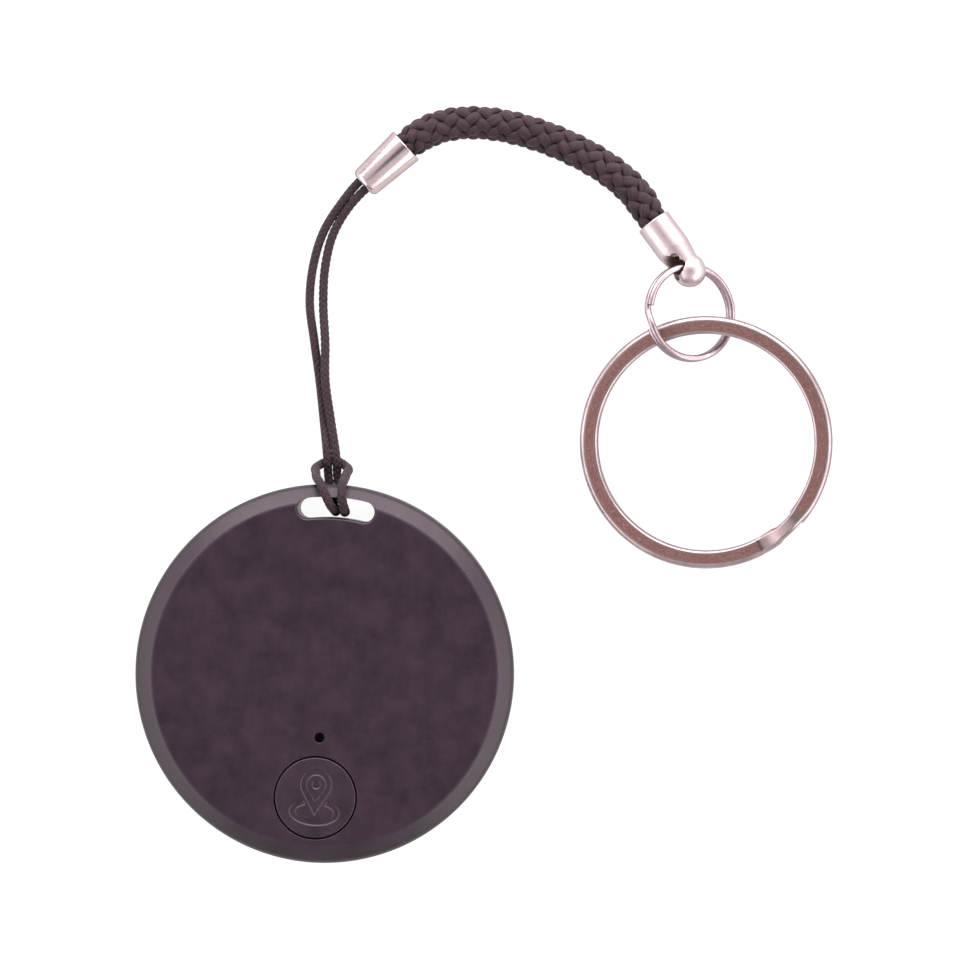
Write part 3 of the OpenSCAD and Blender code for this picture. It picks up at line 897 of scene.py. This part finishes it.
# The solid lug that the slot runs through
LUG_INNER_R = SLOT_R - SLOT_W / 2 - SLOT_WALL
LUG_HALF_ANGLE = SLOT_HALF_ANGLE + math.asin((SLOT_W / 2 + SLOT_WALL) / SLOT_R)
BAR_RELIEF = 1.4 * MM
BUTTON_Y = -12.1 * MM
BUTTON_R = 3.95 * MM
BUTTON_GAP = 0.14 * MM
BUTTON_EDGE = 0.16 * MM
LIGHT_HOLE_Y = -6.2 * MM
LIGHT_HOLE_R = 0.5 * MM
HOLE_FLARE = 0.06 * MM
# Straight towards the slot, from the disc's centre
UP = math.pi / 2
# Points round the body and its two holes, and along the arcs of its other outlines
BODY_SIDES, BUTTON_HOLE_SIDES, LIGHT_HOLE_SIDES = 360, 96, 48
CAVITY_ARC, LUG_ARC, SLOT_ARC, SLOT_END_ARC = 181, 25, 33, 17


def slot_outline(grow):
    """The curved slot, grown outwards on every side."""
    reach = SLOT_W / 2 + grow
    right, left = UP - SLOT_HALF_ANGLE, UP + SLOT_HALF_ANGLE
    right_end, left_end = (SLOT_R * np.array((math.cos(a), math.sin(a))) for a in (right, left))
    return np.concatenate([
        arc(SLOT_R + reach, right, left, SLOT_ARC)[1:-1],
        arc(reach, left, left + math.pi, SLOT_END_ARC, left_end),
        arc(SLOT_R - reach, left, right, SLOT_ARC)[1:-1],
        arc(reach, right - math.pi, right, SLOT_END_ARC, right_end),
    ])


def circle_outline(radius, y, sides):
    return lambda grow: circle(radius + grow, sides, (0, y))


def flared_cutter(name, outline, bottom, top, flare):
    """Cutter that opens out in a quarter round where it meets the surface at top."""
    last, steps = math.radians(76), 9
    rings = [at_height(outline(0), bottom)]
    for angle in np.linspace(0, last, steps):
        z = top - flare * math.sin(last) + flare * math.sin(angle)
        rings.append(at_height(outline(flare * (1 - math.cos(angle))), z))
    beyond = 0.1 * MM
    wider = flare * (1 - math.cos(last)) + beyond * math.tan(last)
    rings.append(at_height(outline(wider), top + beyond))
    return stack(name, rings)


def make_shell():
    """Bevelled body, hollow from the back, with its slot, relief and two holes."""
    profile = rounded([
        (0, 0, 0), (TAG_R, 0, EDGE_R), (TAG_R, TAG_H - BEVEL_H, BEVEL_LOW_R),
        (TAG_R - BEVEL_W, TAG_H, BEVEL_TOP_R), (0, TAG_H, 0),
    ], steps=14)
    shell = lathe("body_shell", profile, BODY_SIDES)
    cavity = np.concatenate([
        arc(CAVITY_R, UP + LUG_HALF_ANGLE, UP + TURN - LUG_HALF_ANGLE, CAVITY_ARC),
        arc(LUG_INNER_R, UP - LUG_HALF_ANGLE, UP + LUG_HALF_ANGLE, LUG_ARC),
    ])
    ceiling = TAG_H - FRONT_WALL
    relief = np.concatenate([
        arc(TAG_R + PAST, UP - SLOT_HALF_ANGLE, UP + SLOT_HALF_ANGLE, LUG_ARC),
        arc(SLOT_R - SLOT_W / 2, UP + SLOT_HALF_ANGLE, UP - SLOT_HALF_ANGLE, LUG_ARC),
    ])
    button_hole = circle_outline(BUTTON_R + BUTTON_GAP, BUTTON_Y, BUTTON_HOLE_SIDES)
    light_hole = circle_outline(LIGHT_HOLE_R, LIGHT_HOLE_Y, LIGHT_HOLE_SIDES)
    for name, outline, top in (("cavity", cavity, ceiling), ("relief", relief, BAR_RELIEF)):
        combine(shell, stack(name, [at_height(outline, -PAST), at_height(outline, top)]))
    for name, outline, bottom, flare in (
        ("slot", slot_outline, -PAST, SLOT_FLARE),
        ("button_hole", button_hole, ceiling - PAST, HOLE_FLARE),
        ("light_hole", light_hole, ceiling - PAST, HOLE_FLARE),
    ):
        combine(shell, flared_cutter(name, outline, bottom, TAG_H, flare))
    sharpen(shell, degrees=12)
    return shell


shell_plastic = moulded_plastic(
    "shell_plastic", dark=(0.004, 0.001, 0.004), light=(0.02, 0.0075, 0.019), rough=0.42,
)
shell = make_shell()
dress(shell, shell_plastic)
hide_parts("front_shell")
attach(shell, "tag")

# ------------------------------------------------------------------ find button

# The symbol's strokes, in mm from the cap's middle: a map pin with a hole and a dot, and
# the oval it stands in, which stops short of the pin
PIN_HEAD_Y = 1.27
PIN_TIP_R = 0.06
PIN_R, PIN_TIP_Y = 1.52, -1.6
PIN_HOLE_R, PIN_HOLE_TIP_Y = 0.93, -0.3
PIN_DOT_R = 0.42
PIN_GAP = 0.3
OVAL_Y = -1.42
OVAL_HALF = (2.46, 1.3)
OVAL_HOLE_HALF = (1.86, 0.78)
# Where a stroke's side starts and ends, from its outline, and how deep the stroke is
STROKE_SIDE = (-0.09, 0.05)
SYMBOL_DEPTH = 0.1 * MM
DISH_DEPTH = 0.05 * MM
TOP_RINGS = 78


def drop_distance(x, y, head_r, tip_y):
    """Signed distance to a teardrop that points down from the pin's head."""
    span = PIN_HEAD_Y - tip_y
    x, down = np.abs(x), PIN_HEAD_Y - y
    slope = (head_r - PIN_TIP_R) / span
    flank = math.sqrt(1 - slope**2)
    where = -slope * x + flank * down
    at_head = np.hypot(x, down) - head_r
    at_tip = np.hypot(x, down - span) - PIN_TIP_R
    at_flank = flank * x + slope * down - head_r
    return np.where(where < 0, at_head, np.where(where > flank * span, at_tip, at_flank))


def oval_distance(x, y, half_w, half_h):
    """Nearly the signed distance to an oval round the pin's foot."""
    y = y - OVAL_Y
    reach = np.hypot(x / half_w, y / half_h)
    slope = np.hypot(x / half_w**2, y / half_h**2)
    return reach * (reach - 1) / np.maximum(slope, 1e-9)


def symbol_distance(x, y):
    """Signed distance, in mm, to the pressed strokes."""
    pin = drop_distance(x, y, PIN_R, PIN_TIP_Y)
    pin_hole = drop_distance(x, y, PIN_HOLE_R, PIN_HOLE_TIP_Y)
    dot = np.hypot(x, y - PIN_HEAD_Y) - PIN_DOT_R
    pin_stroke = np.minimum(np.maximum(pin, -pin_hole), dot)
    oval = oval_distance(x, y, *OVAL_HALF)
    oval_hole = oval_distance(x, y, *OVAL_HOLE_HALF)
    oval_stroke = np.maximum(np.maximum(oval, -oval_hole), PIN_GAP - pin)
    return np.minimum(pin_stroke, oval_stroke)


def press_symbol(button):
    """Presses the symbol into the cap's top, which is also very slightly dished."""
    co = points_of(button)
    x, y = co[:, 0] / MM, co[:, 1] / MM
    on_top = co[:, 2] > TAG_H - TOUCH
    pressed = 1 - smoothstep(*STROKE_SIDE, symbol_distance(x, y))
    from_middle = np.hypot(co[:, 0], co[:, 1]) / (BUTTON_R - BUTTON_EDGE)
    dished = 1 - np.clip(from_middle, 0, 1) ** 2
    co[:, 2] -= on_top * (SYMBOL_DEPTH * pressed + DISH_DEPTH * dished)
    button.data.vertices.foreach_set("co", co.ravel())


def make_button():
    """Cap with a softened edge, a pressed symbol and a flange that holds it in."""
    flange_r, flange_edge = BUTTON_R + 0.75 * MM, 0.05 * MM
    flange_top = TAG_H - FRONT_WALL - 0.05 * MM
    base_z = flange_top - 0.4 * MM
    inside_r, inside_z = 3 * MM, base_z + 0.85 * MM
    side = rounded([
        (inside_r, base_z, 0), (flange_r, base_z, flange_edge),
        (flange_r, flange_top, flange_edge), (BUTTON_R, flange_top, 0),
        (BUTTON_R, TAG_H, BUTTON_EDGE), (0, TAG_H, 0),
    ])[:-1]
    # rings close together across the top carry the symbol
    radii = np.linspace(BUTTON_R - BUTTON_EDGE, 0.05 * MM, TOP_RINGS)[1:]
    profile = np.concatenate([
        [(0, inside_z), (inside_r, inside_z)], side, at_height(radii, TAG_H), [(0, TAG_H)],
    ])
    button = lathe("find_button_cap", profile, BODY_SIDES)
    press_symbol(button)
    button.data.transform(Matrix.Translation((0, BUTTON_Y, 0)))
    sharpen(button, degrees=50)
    return button


button_plastic = moulded_plastic(
    "button_plastic", dark=(0.004, 0.001, 0.004), light=(0.02, 0.0075, 0.018), rough=0.45,
)
button = make_button()
dress(button, button_plastic)
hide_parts("find_button")
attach(button, "button")

# ------------------------------------------------------------------ pieces kept from the CAD

def coated_board():
    """Green solder mask over faint copper tracks on glass cloth."""
    made, shader = new_material("solder_mask", {"Coat Weight": 0.6, "Coat Roughness": 0.12})
    space = object_space(made)
    tracks = add(made, "ShaderNodeTexBrick", {
        "Vector": space, "Scale": 420.0, "Mortar Size": 0.035, "Mortar Smooth": 0.2,
        "Color1": (0.0, 0.0, 0.0, 1), "Color2": (0.1, 0.1, 0.1, 1), "Mortar": (1, 1, 1, 1),
    }).outputs["Color"]
    cloth = noise(made, stretched(made, space, (1, 1, 0.2)), scale=6000.0, detail=2.0)
    mask = mixed(made, tracks, (0.008, 0.09, 0.035, 1), (0.03, 0.24, 0.1, 1))
    weave = ranged(made, cloth, 0.3, 0.7, to_high=0.35)
    link(made, mixed(made, weave, mask, (0.02, 0.16, 0.07, 1)), shader, "Base Color")
    link(made, ranged(made, cloth, 0.3, 0.7, 0.32, 0.45), shader, "Roughness")
    bump(made, shader, tracks, distance=0.02 * MM, strength=0.5)
    return made


def grainy(name, dark, light, scale, rough, depth=0.004 * MM):
    """Fine-grained body such as ceramic, nylon or a wire's sleeve."""
    made, shader = new_material(name, {})
    space = object_space(made)
    grain = noise(made, space, scale, detail=4.0, rough=0.65)
    patch = noise(made, space, scale * 0.08, detail=2.0)
    tone = shared(made, grain, patch, a_share=0.5)
    link(made, tinted(made, tone, 0.3, 0.7, dark, light), shader, "Base Color")
    link(made, ranged(made, grain, 0.3, 0.7, rough - 0.05, rough + 0.08), shader, "Roughness")
    bump(made, shader, grain, distance=depth, strength=0.6)
    return made


FINISHES = {
    "cover": moulded_plastic(
        "cover_plastic", dark=(0.004, 0.001, 0.004), light=(0.02, 0.008, 0.019), rough=0.52,
    ),
    "dark": moulded_plastic(
        "package_plastic", dark=(0.008, 0.008, 0.009), light=(0.02, 0.02, 0.022), rough=0.5,
    ),
    "board": coated_board(),
    "steel": plated_metal(
        "stamped_steel", colour=(0.62, 0.62, 0.64), tarnish=(0.5, 0.48, 0.46), rough=0.28,
    ),
    "cell": plated_metal(
        "cell_steel", colour=(0.74, 0.74, 0.76), tarnish=(0.6, 0.58, 0.56), rough=0.26,
        streak=(1.0, 0.1, 1.0),
    ),
    "brass": plated_metal(
        "brass_sheet", colour=(0.78, 0.6, 0.26), tarnish=(0.6, 0.4, 0.16), rough=0.25,
        streak=(1.0, 0.2, 1.0),
    ),
    "gold": plated_metal(
        "contact_gold", colour=(0.86, 0.7, 0.36), tarnish=(0.7, 0.52, 0.24), rough=0.22,
    ),
    "gasket": grainy(
        "nylon", dark=(0.5, 0.49, 0.44), light=(0.62, 0.61, 0.56), scale=3500.0, rough=0.5,
    ),
    "ceramic": grainy(
        "fired_ceramic", dark=(0.6, 0.55, 0.45), light=(0.78, 0.74, 0.65), scale=5000.0,
        rough=0.6, depth=0.005 * MM,
    ),
    "alumina": grainy(
        "alumina", dark=(0.7, 0.69, 0.64), light=(0.85, 0.84, 0.8), scale=5200.0, rough=0.45,
    ),
    "capacitor": grainy(
        "capacitor_body", dark=(0.3, 0.2, 0.12), light=(0.5, 0.37, 0.24), scale=5200.0,
        rough=0.45,
    ),
    "wire": grainy(
        "wire_sleeve", dark=(0.38, 0.02, 0.02), light=(0.55, 0.05, 0.04), scale=2600.0,
        rough=0.45,
    ),
    # Painted shade: the LED's lens is near-black so that the light hole above it looks dark
    "led": grainy(
        "led_lens_painted_dark", dark=(0.004, 0.002, 0.003), light=(0.01, 0.006, 0.008), scale=3000.0,
        rough=0.3, depth=0.003 * MM,
    ),
}
# Finish and slot of each node that keeps its CAD shape
KEPT = {
    "rear_cover": ("cover", "shell_plastic"),
    "switch_plunger": ("dark", "dark_plastic"),
    "bluetooth_chip": ("dark", "dark_plastic"),
    "switch_base": ("steel", "steel"),
    "crystal": ("steel", "steel"),
    "circuit_board": ("board", "board"),
    "chip_antenna": ("alumina", "ceramic"),
    "status_led": ("led", "led"),
    "passives": ("capacitor", "ceramic"),
    "cell_can": ("cell", "cell_steel"),
    "cell_cap": ("cell", "cell_steel"),
    "cell_gasket": ("gasket", "gasket"),
    "positive_contact": ("gold", "brass"),
    "negative_contact": ("gold", "brass"),
    "buzzer_plate": ("brass", "brass"),
    "buzzer_ceramic": ("ceramic", "ceramic"),
    "buzzer_wires": ("wire", "wire"),
}


def finish_kept_nodes():
    for name, (finish, slot) in KEPT.items():
        dress(nodes[name], FINISHES[finish])


finish_kept_nodes()

# ------------------------------------------------------------------ table and light

SOFTBOX_TINT = (1.0, 0.87, 0.93)
TENT_TINT = (1.0, 0.92, 0.95)
# Brightness of the tent's wall at table height and from TENT_TOP, a height on a unit sphere
TENT_LOW, TENT_HIGH, TENT_TOP = 0.45, 0.9, 0.75
# The dark opening overhead, between its soft edge's outer and inner angles from straight up
OPENING_COLOUR = (0.03, 0.02, 0.018, 1)
OPENING_OUTER, OPENING_INNER = math.radians(18), math.radians(13)
TABLE_SIZE = 3
# Keeps the table's top clear of the back that rests on it
TABLE_GAP = 0.02 * MM


def make_table():
    """Pale table that gives off most of its own brightness."""
    edit = bmesh.new()
    bmesh.ops.create_grid(edit, x_segments=1, y_segments=1, size=TABLE_SIZE)
    mesh = bpy.data.meshes.new("table")
    edit.to_mesh(mesh)
    edit.free()
    made, _ = new_material("table", {
        "Base Color": (0.1, 0.1, 0.1, 1), "Roughness": 0.9, "Specular IOR Level": 0.1,
        "Emission Color": (1, 1, 1, 1), "Emission Strength": 0.95,
    })
    mesh.materials.append(made)
    table = shown("table", mesh)
    table.location = (CAMERA_AT[0], CAMERA_AT[1], cad_box[0].z - TABLE_GAP)


def make_world():
    """Pale tent, brighter towards its top, with a small warm dark opening straight overhead."""
    world = bpy.data.worlds.new("tent")
    world.use_nodes = True
    scene.world = world
    direction = add(world, "ShaderNodeTexCoord", {}).outputs["Generated"]
    height = add(world, "ShaderNodeSeparateXYZ", {0: direction}).outputs["Z"]
    opening = add(world, "ShaderNodeMapRange", {
        "Value": height, "From Min": math.cos(OPENING_OUTER), "From Max": math.cos(OPENING_INNER),
    }, interpolation_type="SMOOTHSTEP").outputs[0]
    wall = scaled(world, TENT_TINT, ranged(world, height, 0.0, TENT_TOP, TENT_LOW, TENT_HIGH))
    colour = mixed(world, opening, wall, OPENING_COLOUR)
    link(world, colour, world.node_tree.nodes["Background"], "Color")


def make_softbox(name, place, size, power):
    """Area light aimed at the middle of the object."""
    data = bpy.data.lights.new(name, "AREA")
    data.shape = "RECTANGLE"
    data.size, data.size_y = size
    data.energy = power
    data.color = SOFTBOX_TINT
    light = shown(name, data)
    light.location = place
    aim = Vector((CAMERA_AT[0], CAMERA_AT[1], 0)) - light.location
    light.rotation_euler = aim.to_track_quat("-Z", "Y").to_euler()


make_table()
make_world()
make_softbox("top_box", place=(0.0, 0.8, 0.42), size=(1.8, 0.7), power=23.0)
make_softbox("left_box", place=(-0.8, -0.2, 0.42), size=(1.5, 0.6), power=8.0)
make_softbox("right_box", place=(0.85, -0.2, 0.4), size=(1.5, 0.6), power=9.5)
scene.view_settings.view_transform = "Standard"
